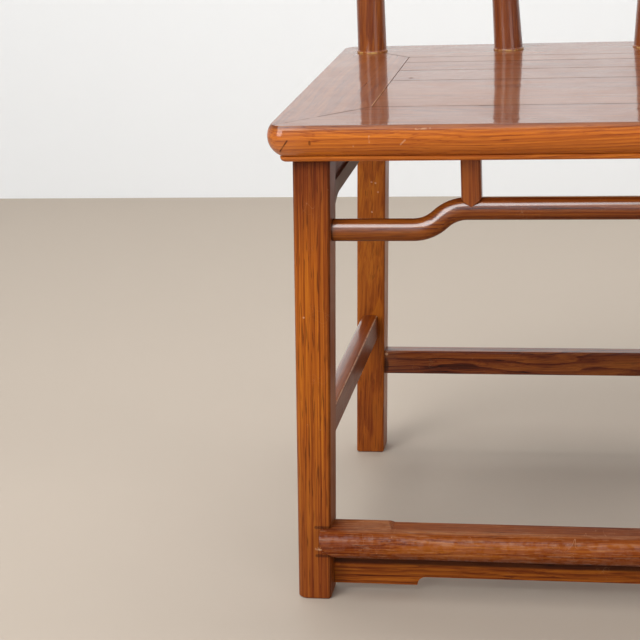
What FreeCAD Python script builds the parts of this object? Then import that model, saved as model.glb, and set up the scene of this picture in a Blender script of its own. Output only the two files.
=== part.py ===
import FreeCAD, Part
import math
import os

# An official's hat chair in lacquered hardwood, drawn in millimetres.
# +Z is up, the sitter looks along -Y, and the origin is the middle of the floor under the whole chair.

# Seat frame: four mitred rails round a floating panel
seat_width = 562.0
seat_depth = 498.0
seat_height = 500.0
seat_frame_thickness = 37.0
seat_corner_radius = 18.0
front_rail_width = 97.0
rear_rail_width = 93.0
side_rail_width = 90.0

# Edge moulding of the seat: a tall swelling over a notch and a small bead
swell_height = 30.2
swell_widest_drop = 12.0
swell_top_inset = 4.2
swell_foot_inset = 10.5
notch_inset = 13.0
notch_height = 0.8
bead_top_inset = 11.5
bead_top_drop = 31.8
bead_foot_inset = 15.0

# Tenons where the side rails meet the front and rear rails
mitre_tenon_width = 24.0
mitre_tenon_setback = 8.0
mitre_tenon_thickness = 10.0
mitre_tenon_rise = 9.0
mitre_tenon_stop = 30.0

# Seat panel: boards that run from side to side, tongued into the frame and into each other
board_thickness = 15.0
board_gap = 0.8
tongue_thickness = 6.0
tongue_cover = 6.0
tongue_length = 8.0
board_depth_shares = (0.49, 0.21, 0.18, 0.12)
board_names = ("front", "second", "third", "rear")

# Battens dovetailed into the underside of the panel
batten_spacing = 150.0
batten_width = 30.0
batten_height = 18.0
batten_dovetail_height = 3.0
batten_dovetail_neck = 18.0
batten_dovetail_flare = 2.0
batten_tenon_length = 12.0
batten_tenon_cheek = 4.0

# Front legs: round outside, square inside, splayed to the side and a little forward
front_leg_inset_side = 39.7
front_leg_inset = 41.0
front_leg_top_width = 38.0
front_leg_top_depth = 38.0
front_leg_foot_width = 35.0
front_leg_foot_depth = 36.5
front_leg_splay_side = 17.0
front_leg_splay_forward = 3.0

# Rear legs: one piece with the round stiles above the seat
rear_leg_inset_side = 41.0
rear_leg_inset = 45.0
rear_leg_top_width = 34.2
rear_leg_top_depth = 37.0
rear_leg_foot_width = 33.9
rear_leg_foot_depth = 37.5
rear_leg_splay_side = 19.1
rear_leg_splay_back = 3.0

# Corners of the legs, and the tenons on top of the front ones
leg_outer_radius = 11.0
leg_side_radius = 3.5
leg_inner_radius = 2.5
foot_chamfer = 1.5
leg_tenon_side = 18.0
leg_tenon_height = 22.0

# Round stiles of the back: straight up, then a long bend, then a straight lean backwards
stile_waist_radius = 13.0
stile_foot_radius = 16.9
stile_middle_radius = 16.3
stile_top_radius = 15.0
stile_setback = 60.0
back_bend_height = 230.0
back_bend_radius = 1600.0

# Inner posts of the back: they lean outwards and taper upwards
post_foot_x = 80.0
post_bend_x = 91.0
post_top_x = 98.0
post_foot_radius = 16.6
post_middle_radius = 15.3
post_top_radius = 13.0
post_tenon_radius = 9.0
post_tenon_length = 24.0

# Bead round the foot of each stile and post
foot_bead_projection = 1.1
foot_bead_height = 3.0
foot_bead_round = 2.3

# Yoke crest rail
crest_overhang = 35.0
crest_height_above_seat = 572.0
crest_rise = 24.0
crest_bow = 22.0
crest_middle_height = 46.0
crest_middle_depth = 27.0
crest_arm_height = 31.0
crest_arm_depth = 30.0
crest_crown_x = 40.0
crest_dip_x = 188.0
crest_tip_rise = 9.0
crest_end_length = 24.0
crest_end_shares = (0.3, 0.55, 0.75, 0.9, 0.98)
crest_steps = 48
crest_tenon_radius = 8.0
crest_tenon_root = 12.0
crest_tenon_rise = 6.0
crest_peg_radius = 3.0
crest_peg_depth = 6.0

# Humpback stretcher under the front of the seat, and its two struts
hump_radius = 11.1
hump_drop = 74.0
hump_rise = 21.0
hump_half_width = 119.0
hump_bend_radius = 39.0
hump_tenon_radius = 6.0
strut_spacing = 176.0
strut_width = 19.6
strut_depth = 21.0
strut_corner_radius = 5.0
strut_point_depth = 7.5
strut_tenon_side = 9.0
strut_tenon_height = 14.0

# Aprons under the side and rear rails, with spandrels that run down the legs
apron_depth = 48.0
apron_thickness = 14.0
spandrel_run = 38.0
spandrel_drop = 18.0
spandrel_tip = 2.0
apron_band_height = 16.0
apron_band_projection = 3.5
apron_tongue_thickness = 7.0
apron_tongue_length = 6.0
apron_tongue_cover = 5.0
apron_tongue_setback = 3.0
apron_reveal = 2.1

# Side stretchers
side_stretcher_bottom = 151.0
side_stretcher_height = 29.0
side_stretcher_width = 20.5
side_stretcher_offset = 1.0
side_stretcher_outer_radius = 6.5
side_stretcher_inner_radius = 3.0

# Rear stretcher
rear_stretcher_bottom = 103.0
rear_stretcher_height = 29.5
rear_stretcher_depth = 20.0
rear_stretcher_reveal = 4.4
rear_stretcher_radius = 2.5

# Rectangular tenons of the stretchers
stretcher_tenon_cheek = 5.0
stretcher_tenon_root = 8.0
tenon_radius = 1.0

# Foot rail across the front, lapped over the faces of the front legs
foot_rail_bottom = 50.0
foot_rail_height = 29.0
foot_rail_nose_y = 3.0
foot_rail_back_y = 54.0
foot_rail_back_radius = 10.0
foot_rail_tenon_depth = 16.0
foot_rail_lap = 9.5
foot_rail_lap_corner = 4.0
foot_rail_lap_drop = 20.0
foot_rail_lap_run = 21.0
lap_curve_run_share = 0.4
lap_curve_rise_share = 0.39
wear_depth = 4.5
wear_half_length = 175.0
wear_ramp = 9.0
wear_front_y = 20.0

# Apron under the foot rail
foot_apron_front_y = 42.0
foot_apron_thickness = 12.0
foot_apron_bottom = 9.0
foot_apron_step = 9.0
foot_apron_step_x = 153.0
foot_apron_tongue_length = 4.0
foot_apron_cheek = 3.0

# Fits
fit_clearance = 0.2
end_clearance = 1.0
overrun = 5.0

# Places that follow from the sizes
Vector = FreeCAD.Vector
half_width = seat_width / 2
leg_height = seat_height - seat_frame_thickness
hump_low_z = leg_height - hump_drop
crest_low_z = seat_height + crest_height_above_seat
rear_leg_distance = seat_depth - rear_leg_inset
overall_depth = rear_leg_distance + stile_setback + crest_bow + crest_middle_depth / 2
front_y = -overall_depth / 2
rear_y = front_y + seat_depth
stile_x = half_width - rear_leg_inset_side
crest_half_length = stile_x + crest_overhang
stile_y = front_y + rear_leg_distance
window_x = half_width - side_rail_width
window_front_y = front_y + front_rail_width
window_rear_y = rear_y - rear_rail_width
tongue_top_z = seat_height - tongue_cover
tongue_bottom_z = tongue_top_z - tongue_thickness
board_bottom_z = seat_height - board_thickness
battens_x = (-batten_spacing / 2, batten_spacing / 2)
struts_x = (-strut_spacing / 2, strut_spacing / 2)
up = Vector(0, 0, 1)


def box(x_range, y_range, z_range):
    """A block between two places on each axis."""
    size = [high - low for low, high in (x_range, y_range, z_range)]
    return Part.makeBox(size[0], size[1], size[2], Vector(x_range[0], y_range[0], z_range[0]))


def prism(points, sweep):
    """A flat outline of straight edges, pushed along a vector."""
    return Part.Face(Part.makePolygon(list(points) + [points[0]])).extrude(sweep)


def joined(shapes):
    """Several overlapping solids as one solid without seams."""
    first = shapes[0]
    for other in shapes[1:]:
        first = first.fuse(other)
    return whole(first.removeSplitter())


def whole(shape):
    """The one solid that a cut leaves: its largest."""
    return max(shape.Solids, key=lambda solid: solid.Volume)


def cut_by(shape, cutters):
    """The one solid that a row of cuts leaves."""
    for cutter in cutters:
        shape = shape.cut(cutter)
    return whole(shape)


def mirrored(shape):
    """The same piece for the right side."""
    return shape.mirror(Vector(0, 0, 0), Vector(1, 0, 0))


def with_mirrored(shapes):
    """Left shapes and their mirror images."""
    return list(shapes) + [mirrored(shape) for shape in shapes]


def both_sides(name, shape):
    """A left piece and its right twin, by name."""
    return {name + "_left": shape, name + "_right": mirrored(shape)}


def end_room(grow):
    """Room beyond the end of a tenon: a mortise, which is the tenon with some growth, has it."""
    return end_clearance if grow else 0


def rounded_outline(centre, width, depth, radii):
    """A level rectangle with its own radius at each corner, from front left round to rear left."""
    low = Vector(centre.x - width / 2, centre.y - depth / 2, centre.z)
    high = Vector(centre.x + width / 2, centre.y + depth / 2, centre.z)
    corners = ((low.x, low.y, 1, 1), (high.x, low.y, -1, 1),
               (high.x, high.y, -1, -1), (low.x, high.y, 1, -1))
    arcs = []
    for index, (x, y, turn_x, turn_y) in enumerate(corners):
        radius = radii[index]
        middle = Vector(x + turn_x * radius, y + turn_y * radius, centre.z)
        on_side = Vector(x, middle.y, centre.z)
        on_end = Vector(middle.x, y, centre.z)
        diagonal = radius * math.sqrt(0.5)
        halfway = Vector(middle.x - turn_x * diagonal, middle.y - turn_y * diagonal, centre.z)
        ends = (on_side, on_end) if index % 2 == 0 else (on_end, on_side)
        arcs.append((ends[0], halfway, ends[1]))
    edges = []
    for index, (start, halfway, end) in enumerate(arcs):
        edges.append(Part.Arc(start, halfway, end).toShape())
        edges.append(Part.LineSegment(end, arcs[(index + 1) % len(arcs)][0]).toShape())
    return Part.Wire(edges)


def bar(start, end, across, height, radii):
    """A straight level bar whose section stands upright, between two points on its centre line."""
    along = (end - start).normalize()
    side = up.cross(along)
    outline = rounded_outline(Vector(0, 0, 0), across, height, radii)
    frame = frame_matrix(side, up, along, start)
    blank = Part.Face(outline).extrude(up * start.distanceToPoint(end))
    return placed(blank, frame)


def frame_matrix(x_axis, y_axis, z_axis, origin):
    """The matrix of a local frame."""
    return FreeCAD.Matrix(
        x_axis.x, y_axis.x, z_axis.x, origin.x,
        x_axis.y, y_axis.y, z_axis.y, origin.y,
        x_axis.z, y_axis.z, z_axis.z, origin.z,
        0, 0, 0, 1)


def placed(shape, matrix):
    """A copy of a shape, moved and turned by a matrix."""
    copy = shape.copy()
    copy.Placement = FreeCAD.Placement(matrix)
    return copy


def leg_axis(inset_side, side_splay, top_y, y_splay, z):
    """Centre of a left leg at a height."""
    drop_share = (leg_height - z) / leg_height
    return Vector(inset_side - half_width - side_splay * drop_share, top_y + y_splay * drop_share, z)


def front_leg_axis(z):
    """Centre of the left front leg at a height."""
    top_y = front_y + front_leg_inset
    return leg_axis(front_leg_inset_side, front_leg_splay_side, top_y, -front_leg_splay_forward, z)


def rear_leg_axis(z):
    """Centre of the left rear leg at a height."""
    return leg_axis(rear_leg_inset_side, rear_leg_splay_side, stile_y, rear_leg_splay_back, z)


def between(low, high, z):
    """A leg size at a height, from its size at the foot and at the top."""
    return low + (high - low) * z / leg_height


def front_leg_width(z):
    return between(front_leg_foot_width, front_leg_top_width, z)


def front_leg_depth(z):
    return between(front_leg_foot_depth, front_leg_top_depth, z)


def rear_leg_width(z):
    return between(rear_leg_foot_width, rear_leg_top_width, z)


def rear_leg_depth(z):
    return between(rear_leg_foot_depth, rear_leg_top_depth, z)


def leg_blank(axis, width, depth, radii):
    """A tapered and splayed leg below the seat frame, with its foot arris worn off."""
    outlines = []
    for z, worn in ((0, foot_chamfer), (foot_chamfer, 0), (leg_height, 0)):
        outlines.append(rounded_outline(axis(z), width(z) - 2 * worn, depth(z) - 2 * worn,
                                        [radius - worn for radius in radii]))
    return Part.makeLoft(outlines, True, True)


def front_leg_blank():
    """Left front leg: the outer corner is the round one."""
    radii = (leg_outer_radius, leg_side_radius, leg_inner_radius, leg_side_radius)
    return leg_blank(front_leg_axis, front_leg_width, front_leg_depth, radii)


def rear_leg_blank():
    """Left rear leg below the seat."""
    radii = (leg_side_radius, leg_inner_radius, leg_side_radius, leg_outer_radius)
    return leg_blank(rear_leg_axis, rear_leg_width, rear_leg_depth, radii)


def round_bar(start, way, radius, length):
    """A plain round bar, such as a tenon."""
    return Part.makeCylinder(radius, length, start, way)


def foot_bead(x, radius):
    """The bead round the foot of a back member, on the seat."""
    foot = Vector(x, stile_y, seat_height)
    bead = round_bar(foot, up, radius + foot_bead_projection, foot_bead_height)
    upper_rim = [edge for edge in bead.Edges if edge.Closed and edge.BoundBox.ZMin > seat_height]
    return bead.makeFillet(foot_bead_round, upper_rim)


def stile_line():
    """The left stile's centre line: its foot, the corner that its bend rounds, and its top."""
    return (Vector(-stile_x, stile_y, seat_height),
            Vector(-stile_x, stile_y, seat_height + back_bend_height),
            crest_centre(-stile_x))


def post_line():
    """The left inner post's centre line, in the same way."""
    return (Vector(-post_foot_x, stile_y, seat_height),
            Vector(-post_bend_x, stile_y, seat_height + back_bend_height),
            crest_centre(-post_top_x))


def bent_round(line, foot_radius, middle_radius, top_radius):
    """A round bar on a line with one bend, tapered below and above the bend."""
    foot, corner, top = line
    rise = (corner - foot).normalize()
    lean = (top - corner).normalize()
    tangent = back_bend_radius * math.tan(rise.getAngle(lean) / 2)
    bend_start = corner - rise * tangent
    bend_end = corner + lean * tangent
    half_turn = rise.getAngle(lean) / 2
    inward = (lean - rise).normalize()
    bend_middle = corner + inward * back_bend_radius * (1 / math.cos(half_turn) - 1)
    bend = Part.Wire(Part.Arc(bend_start, bend_middle, bend_end).toShape())
    ring = Part.Wire(Part.makeCircle(middle_radius, bend_start, rise))
    taper = (foot_radius - middle_radius) / foot.distanceToPoint(bend_start)
    lower_start = foot - rise * overrun
    lower = Part.makeCone(foot_radius + taper * overrun, middle_radius,
                          lower_start.distanceToPoint(bend_start), lower_start, rise)
    upper = Part.makeCone(middle_radius, top_radius, bend_end.distanceToPoint(top), bend_end, lean)
    below_seat = box((-half_width, half_width), (front_y, rear_y), (leg_height, seat_height))
    return joined([lower.cut(below_seat), bend.makePipeShell([ring], True, False), upper])


def crest_ease(x):
    """How much of the crest rail's raised middle is left: all at the crown, none at the dip."""
    run = (abs(x) - crest_crown_x) / (crest_dip_x - crest_crown_x)
    return (1 + math.cos(math.pi * min(max(run, 0), 1))) / 2


def crest_centre(x):
    """The crest rail's centre line: bowed backwards, raised in the middle and turned up at its tips."""
    past_stile = max(abs(x) - stile_x, 0) / crest_overhang
    return Vector(x, stile_y + stile_setback + crest_bow * (1 - (x / stile_x) ** 2),
                  crest_low_z + crest_rise * crest_ease(x) + crest_tip_rise * past_stile ** 2)


def crest_section(x, size_share):
    """An oval section of the crest rail, square to its length."""
    depth = crest_arm_depth + (crest_middle_depth - crest_arm_depth) * crest_ease(x)
    height = crest_arm_height + (crest_middle_height - crest_arm_height) * crest_ease(x)
    oval = FreeCAD.Matrix()
    oval.scale(depth * size_share / 2, height * size_share / 2, 1)
    ring = Part.makeCircle(1).toNurbs().transformGeometry(oval)
    ring.Placement = FreeCAD.Placement(crest_centre(x),
                                       FreeCAD.Rotation(Vector(0, 1, 0), up, Vector(1, 0, 0), "ZXY"))
    return Part.Wire(ring.Edges)


def crest_blank():
    """The yoke: a raised and flattened middle, lowered shoulders and rounded tips that turn up."""
    end_x = crest_half_length - crest_end_length
    places = [(end_x * (2 * step / crest_steps - 1), 1) for step in range(crest_steps + 1)]
    tips = [(end_x + crest_end_length * share, math.sqrt(1 - share * share))
            for share in crest_end_shares]
    places = [(-x, share) for x, share in tips[::-1]] + places + tips
    return Part.makeLoft([crest_section(x, share) for x, share in places], True, True)


def crest_tenon(line, grow):
    """The tenon on top of a stile or inner post, or with some growth its mortise."""
    corner, top = line[1:]
    way = (top - corner).normalize()
    root = crest_arm_height / 2 + crest_tenon_root
    return round_bar(top - way * root, way, crest_tenon_radius + grow,
                     root + crest_tenon_rise + end_room(grow))


def post_tenon(grow):
    """The tenon under the left inner post, rooted in the post, or with some growth its mortise."""
    root = Vector(-post_foot_x, stile_y, seat_height + post_tenon_radius)
    length = post_tenon_radius + post_tenon_length + end_room(grow)
    return round_bar(root, -up, post_tenon_radius + grow, length)


def crest_peg(grow):
    """The peg from behind that locks the crest rail on the left stile."""
    behind = Vector(-stile_x, stile_y + stile_setback + crest_arm_depth / 2, crest_low_z)
    return round_bar(behind, Vector(0, -1, 0), crest_peg_radius + grow,
                     crest_arm_depth / 2 + crest_peg_depth + end_room(grow))


def moulding_cutter():
    """Everything outside the seat's edge moulding, swept round the seat."""
    top = Vector(-half_width, front_y + seat_corner_radius, seat_height)

    def at(outward, drop):
        return top + Vector(-outward, 0, -drop)

    def arc_middle(inset, drop, direction):
        """Middle of the arc that leaves the widest line upright for an inset and a drop."""
        radius = (inset * inset + drop * drop) / (2 * inset)
        half_angle = math.asin(drop / radius) / 2
        return at(-radius * (1 - math.cos(half_angle)),
                  swell_widest_drop + direction * radius * math.sin(half_angle))

    foot_drop = swell_height - swell_widest_drop
    bead_drop = seat_frame_thickness - bead_top_drop
    bead_out = bead_foot_inset - bead_top_inset
    points = {
        "top": at(-swell_top_inset, 0),
        "upper_middle": arc_middle(swell_top_inset, swell_widest_drop, -1),
        "widest": at(0, swell_widest_drop),
        "lower_middle": arc_middle(swell_foot_inset, foot_drop, 1),
        "foot": at(-swell_foot_inset, swell_height),
        "notch": at(-notch_inset, swell_height + notch_height),
        "bead_top": at(-bead_top_inset, bead_top_drop),
        "bead_foot": at(-bead_foot_inset, seat_frame_thickness),
        "bead_middle": at(-bead_top_inset - bead_out * (1 - math.sqrt(0.5)),
                          bead_top_drop + bead_drop * math.sqrt(0.5)),
    }
    edges = [
        Part.Arc(points["top"], points["upper_middle"], points["widest"]).toShape(),
        Part.Arc(points["widest"], points["lower_middle"], points["foot"]).toShape(),
        Part.LineSegment(points["foot"], points["notch"]).toShape(),
        Part.LineSegment(points["notch"], points["bead_top"]).toShape(),
        Part.Arc(points["bead_top"], points["bead_middle"], points["bead_foot"]).toShape(),
    ]
    outside = (points["bead_foot"], at(-bead_foot_inset, seat_frame_thickness + overrun),
               at(overrun, seat_frame_thickness + overrun), at(overrun, -overrun),
               at(-swell_top_inset, -overrun), points["top"])
    for start, end in zip(outside[:-1], outside[1:]):
        edges.append(Part.LineSegment(start, end).toShape())
    path = seat_outline(0, seat_height)
    return path.makePipeShell([Part.Wire(edges)], True, False)


def seat_outline(grow, z):
    """The plan of the seat with its rounded corners, at a height."""
    centre = Vector(0, front_y + seat_depth / 2, z)
    radii = [seat_corner_radius + grow] * 4
    return rounded_outline(centre, seat_width + 2 * grow, seat_depth + 2 * grow, radii)


def frame_blank():
    """The whole seat frame before it is divided at the mitres."""
    skin = overrun / 2
    slab = Part.Face(seat_outline(skin, leg_height)).extrude(up * seat_frame_thickness)
    window = box((-window_x, window_x), (window_front_y, window_rear_y),
                 (leg_height - overrun, seat_height + overrun))
    reach = tongue_length + end_clearance
    groove = box((-window_x - reach, window_x + reach), (window_front_y - reach, window_rear_y + reach),
                 (tongue_bottom_z - fit_clearance, tongue_top_z + fit_clearance))
    return cut_by(slab, (moulding_cutter(), window, groove))


def mitre_corner(sign, outer_y, inner_y):
    """Outer end of a mitre line, a little past the seat's corner, and its inner end."""
    outer = Vector(sign * half_width, outer_y, leg_height - overrun)
    inner = Vector(sign * window_x, inner_y, leg_height - overrun)
    return outer + (outer - inner).normalize() * overrun, inner


def rail_region(corners):
    """The space of one rail between its two mitres."""
    return prism(corners, up * (seat_frame_thickness + 2 * overrun))


def mitre_tenon(rear, grow):
    """The left side rail's tenon into the front or the rear rail, or with some growth its mortise."""
    inner_x = -window_x - mitre_tenon_setback
    low = leg_height + mitre_tenon_rise
    if rear:
        y_range = (window_rear_y, rear_y - mitre_tenon_stop + end_room(grow))
    else:
        y_range = (front_y + mitre_tenon_stop - end_room(grow), window_front_y)
    return box((inner_x - mitre_tenon_width - grow, inner_x + grow), y_range,
               (low - grow, low + mitre_tenon_thickness + grow))


def leg_tenon(grow):
    """The square tenon on top of the left front leg, or with some growth its mortise."""
    half = leg_tenon_side / 2 + grow
    centre = front_leg_axis(leg_height)
    return box((centre.x - half, centre.x + half), (centre.y - half, centre.y + half),
               (leg_height - (0 if grow else end_clearance),
                leg_height + leg_tenon_height + end_room(grow)))


def stile_hole():
    """The hole at a rear corner of the seat frame, where the left stile passes through."""
    return Part.makeCylinder(stile_waist_radius + fit_clearance, seat_frame_thickness + 2 * overrun,
                             Vector(-stile_x, stile_y, leg_height - overrun))


def batten(x):
    """A dovetailed batten under the panel, tenoned into the front and rear rails."""
    low = board_bottom_z - batten_height
    half = batten_width / 2
    body = box((x - half, x + half), (window_front_y, window_rear_y), (low, board_bottom_z))
    return joined([body, batten_dovetail(x, 0), batten_tenons(x, 0)])


def batten_dovetail(x, grow):
    """The dovetail along the top of a batten, or with some growth its channel."""
    neck = batten_dovetail_neck / 2 + grow
    flare = neck + batten_dovetail_flare
    top_z = board_bottom_z + batten_dovetail_height + grow
    points = [Vector(x - neck, window_front_y, board_bottom_z),
              Vector(x + neck, window_front_y, board_bottom_z),
              Vector(x + flare, window_front_y, top_z),
              Vector(x - flare, window_front_y, top_z)]
    return prism(points, Vector(0, window_rear_y - window_front_y, 0))


def batten_tenons(x, grow):
    """One long tongue whose ends are the batten's tenons in the front and rear rails."""
    low = board_bottom_z - batten_height
    half = batten_width / 2 - batten_tenon_cheek + grow
    reach = batten_tenon_length + end_room(grow)
    return box((x - half, x + half), (window_front_y - reach, window_rear_y + reach),
               (low + batten_tenon_cheek - grow, board_bottom_z - batten_tenon_cheek + grow))


def panel_boards():
    """The boards of the seat panel, from the front to the rear."""
    boards = []
    panel_depth = window_rear_y - window_front_y
    start = window_front_y
    last = len(board_depth_shares) - 1
    half = window_x - board_gap
    for index, share in enumerate(board_depth_shares):
        end = start + panel_depth * share
        front = start + board_gap / 2
        rear = end - board_gap / 2
        body = box((-half, half), (front, rear), (board_bottom_z, seat_height))
        tongue_rear = window_rear_y + tongue_length if index == last else rear - tongue_length
        tongue = box((-window_x - tongue_length, window_x + tongue_length),
                     (start - tongue_length, tongue_rear), (tongue_bottom_z, tongue_top_z))
        board = joined([body, tongue])
        if index < last:
            groove = box((-half - overrun - tongue_length, half + overrun + tongue_length),
                         (end - tongue_length - end_clearance, end + overrun),
                         (tongue_bottom_z - fit_clearance, tongue_top_z + fit_clearance))
            board = board.cut(groove)
        boards.append(cut_by(board, [batten_dovetail(x, fit_clearance) for x in battens_x]))
        start = end
    return boards


def s_bend(x_start, z_start, x_end, z_end):
    """Two tangent arcs that carry the humpback stretcher from one level to the other."""
    rise = abs(z_end - z_start)
    angle = math.acos(1 - rise / (2 * hump_bend_radius))
    climb = 1 if z_end > z_start else -1
    edges = []
    for origin_x, origin_z, way, turn in ((x_start, z_start, 1, climb), (x_end, z_end, -1, -climb)):
        def on_arc(part):
            return Vector(origin_x + way * hump_bend_radius * math.sin(part * angle), hump_y(),
                          origin_z + turn * hump_bend_radius * (1 - math.cos(part * angle)))
        ends = (on_arc(0), on_arc(0.5), on_arc(1))
        edges.append(Part.Arc(*(ends if way > 0 else ends[::-1])).toShape())
    return edges


def hump_y():
    """The humpback stretcher's place in the chair's depth: it runs between the legs' centres."""
    return front_leg_axis(hump_low_z).y


def hump_blank():
    """The humpback stretcher from leg centre to leg centre."""
    high_z = hump_low_z + hump_rise
    angle = math.acos(1 - hump_rise / (2 * hump_bend_radius))
    half_run = hump_bend_radius * math.sin(angle)
    end_x = front_leg_axis(hump_low_z).x
    outer = hump_half_width + half_run
    inner = hump_half_width - half_run
    y = hump_y()
    edges = [Part.LineSegment(Vector(end_x, y, hump_low_z), Vector(-outer, y, hump_low_z)).toShape()]
    edges += s_bend(-outer, hump_low_z, -inner, high_z)
    edges.append(Part.LineSegment(Vector(-inner, y, high_z), Vector(inner, y, high_z)).toShape())
    edges += s_bend(inner, high_z, outer, hump_low_z)
    edges.append(Part.LineSegment(Vector(outer, y, hump_low_z), Vector(-end_x, y, hump_low_z)).toShape())
    section = Part.Wire(Part.makeCircle(hump_radius, Vector(end_x, y, hump_low_z), Vector(1, 0, 0)))
    return Part.Wire(edges).makePipeShell([section], True, False)


def hump_tenon(grow):
    """The round tenon at the left end of the humpback stretcher, or with some growth its mortise."""
    start = front_leg_axis(hump_low_z) - Vector(end_room(grow), 0, 0)
    length = end_room(grow) + front_leg_width(hump_low_z) / 2 + stretcher_tenon_root
    return round_bar(start, Vector(1, 0, 0), hump_tenon_radius + grow, length)


def strut(x):
    """A short post between the humpback stretcher and the seat, pointed where it meets the stretcher."""
    shoulder_z = hump_low_z + hump_rise + hump_radius
    half = strut_width / 2
    radii = [strut_corner_radius] * 4
    foot = Vector(x, hump_y(), shoulder_z - strut_point_depth)
    outline = rounded_outline(foot, strut_width, strut_depth, radii)
    post = Part.Face(outline).extrude(up * (leg_height - foot.z))
    below = shoulder_z - strut_point_depth - overrun
    front = hump_y() - strut_depth
    for sign in (-1, 1):
        corner = [Vector(x, front, foot.z), Vector(x + sign * half, front, shoulder_z),
                  Vector(x + sign * (half + overrun), front, shoulder_z),
                  Vector(x + sign * (half + overrun), front, below), Vector(x, front, below)]
        post = post.cut(prism(corner, Vector(0, 2 * strut_depth, 0)))
    return joined([whole(post), strut_tenon(x, 0)])


def strut_tenon(x, grow):
    """The tenon of a strut into the front rail, or with some growth its mortise."""
    half = strut_tenon_side / 2 + grow
    return box((x - half, x + half), (hump_y() - half, hump_y() + half),
               (leg_height - (0 if grow else strut_tenon_side),
                leg_height + strut_tenon_height + end_room(grow)))


def strut_notch(x):
    """The notch across the humpback stretcher that takes a strut's point."""
    shoulder_z = hump_low_z + hump_rise + hump_radius
    half = strut_width / 2
    steep = half / strut_point_depth
    front = hump_y() - strut_depth
    points = [Vector(x, front, shoulder_z - strut_point_depth),
              Vector(x + half + steep * overrun, front, shoulder_z + overrun),
              Vector(x - half - steep * overrun, front, shoulder_z + overrun)]
    return prism(points, Vector(0, 2 * strut_depth, 0))


def apron_plate(length, place):
    """An apron with a spandrel at each end, and a band that stands proud inside along its lower edge.

    It is drawn with its run along X, its drop down Y and its outer face at Z = 0, and then placed.
    """
    def at(run, drop):
        return Vector(run, -drop, 0)

    low = apron_depth + spandrel_drop
    spare = apron_tongue_length + overrun
    radius = (spandrel_run ** 2 + spandrel_drop ** 2) / (2 * spandrel_drop)
    half_angle = math.asin(spandrel_run / radius) / 2
    inside = spandrel_tip + spandrel_run
    halfway = at(inside - radius * math.sin(half_angle),
                 apron_depth + radius * (1 - math.cos(half_angle)))
    left_arc = (at(spandrel_tip, low), halfway, at(inside, apron_depth))
    right_arc = [at(length - point.x, -point.y) for point in left_arc[::-1]]
    corners = (right_arc[2], at(length + spare, low), at(length + spare, -overrun), at(-spare, -overrun),
               at(-spare, low), left_arc[0])
    edges = [Part.Arc(*left_arc).toShape(), Part.LineSegment(left_arc[2], right_arc[0]).toShape(),
             Part.Arc(*right_arc).toShape()]
    edges += [Part.LineSegment(*pair).toShape() for pair in zip(corners[:-1], corners[1:])]
    plate = Part.Face(Part.Wire(edges)).extrude(up * apron_thickness)
    recess = box((-spare, length + spare), (apron_band_height - apron_depth, overrun),
                 (apron_thickness - apron_band_projection, apron_thickness + overrun))
    return placed(whole(plate.cut(recess)), place)


def apron_tongue(length, place, grow):
    """The tongue at both ends of an apron, or with some growth its grooves in the legs."""
    reach = apron_tongue_length + end_room(grow)
    tongue = box((-reach, length + reach), (-apron_depth - grow, -apron_tongue_cover + grow),
                 (apron_tongue_setback - grow, apron_tongue_setback + apron_tongue_thickness + grow))
    return placed(tongue, place)


def side_apron_place():
    """Run and placing of the left side apron: it leans with the front leg, just inside its face."""
    z = leg_height - apron_depth
    start = front_leg_axis(z).y + front_leg_depth(z) / 2
    end = rear_leg_axis(z).y - rear_leg_depth(z) / 2
    lean = Vector(front_leg_splay_side, 0, leg_height).normalize()
    along = Vector(0, 1, 0)
    inward = along.cross(lean)
    inner_x = -stile_x + rear_leg_top_width / 2 - apron_reveal
    origin = Vector(inner_x, start, leg_height) - inward * apron_thickness
    return end - start, frame_matrix(along, lean, inward, origin)


def rear_apron_place():
    """Run and placing of the rear apron, centred on the rear legs."""
    z = leg_height - apron_depth
    start = rear_leg_axis(z).x + rear_leg_width(z) / 2
    along = Vector(1, 0, 0)
    lean = Vector(0, -rear_leg_splay_back, leg_height).normalize()
    inward = along.cross(lean)
    origin = Vector(start, stile_y, leg_height) - inward * (apron_thickness / 2)
    return -2 * start, frame_matrix(along, lean, inward, origin)


def apron(run, legs):
    """An apron coped to its legs, with its top edge flat under the seat frame."""
    length, place = run
    above = box((-half_width, half_width), (front_y, rear_y), (leg_height, seat_height))
    plate = apron_plate(length, place).cut(above)
    return joined([cut_by(plate, legs), apron_tongue(length, place, 0)])


def side_stretcher_bar(grow, cheek):
    """The left side stretcher, a little outside the legs' centres, or with a cheek off its tenons."""
    z = side_stretcher_bottom + side_stretcher_height / 2
    outward = Vector(-side_stretcher_offset, 0, 0)
    start = front_leg_axis(z) + outward
    end = rear_leg_axis(z) + outward
    inner = side_stretcher_inner_radius
    outer = side_stretcher_outer_radius
    radii = (inner, outer, outer, inner)
    if cheek:
        radii = [tenon_radius] * 4
        spare = (end - start).normalize() * end_room(grow)
        start, end = start - spare, end + spare
    trim = 2 * (cheek - grow)
    return bar(start, end, side_stretcher_width - trim, side_stretcher_height - trim, radii)


def rear_stretcher_bar(grow, cheek):
    """The rear stretcher from leg centre to leg centre, or with a cheek taken off its tenons."""
    z = rear_stretcher_bottom + rear_stretcher_height / 2
    axis = rear_leg_axis(z)
    y = axis.y - rear_leg_depth(z) / 2 + rear_stretcher_reveal + rear_stretcher_depth / 2
    reach = end_room(grow)
    start = Vector(axis.x - reach, y, z)
    end = Vector(-axis.x + reach, y, z)
    trim = 2 * (cheek - grow)
    radii = [tenon_radius if cheek else rear_stretcher_radius] * 4
    return bar(start, end, rear_stretcher_depth - trim, rear_stretcher_height - trim, radii)


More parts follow.
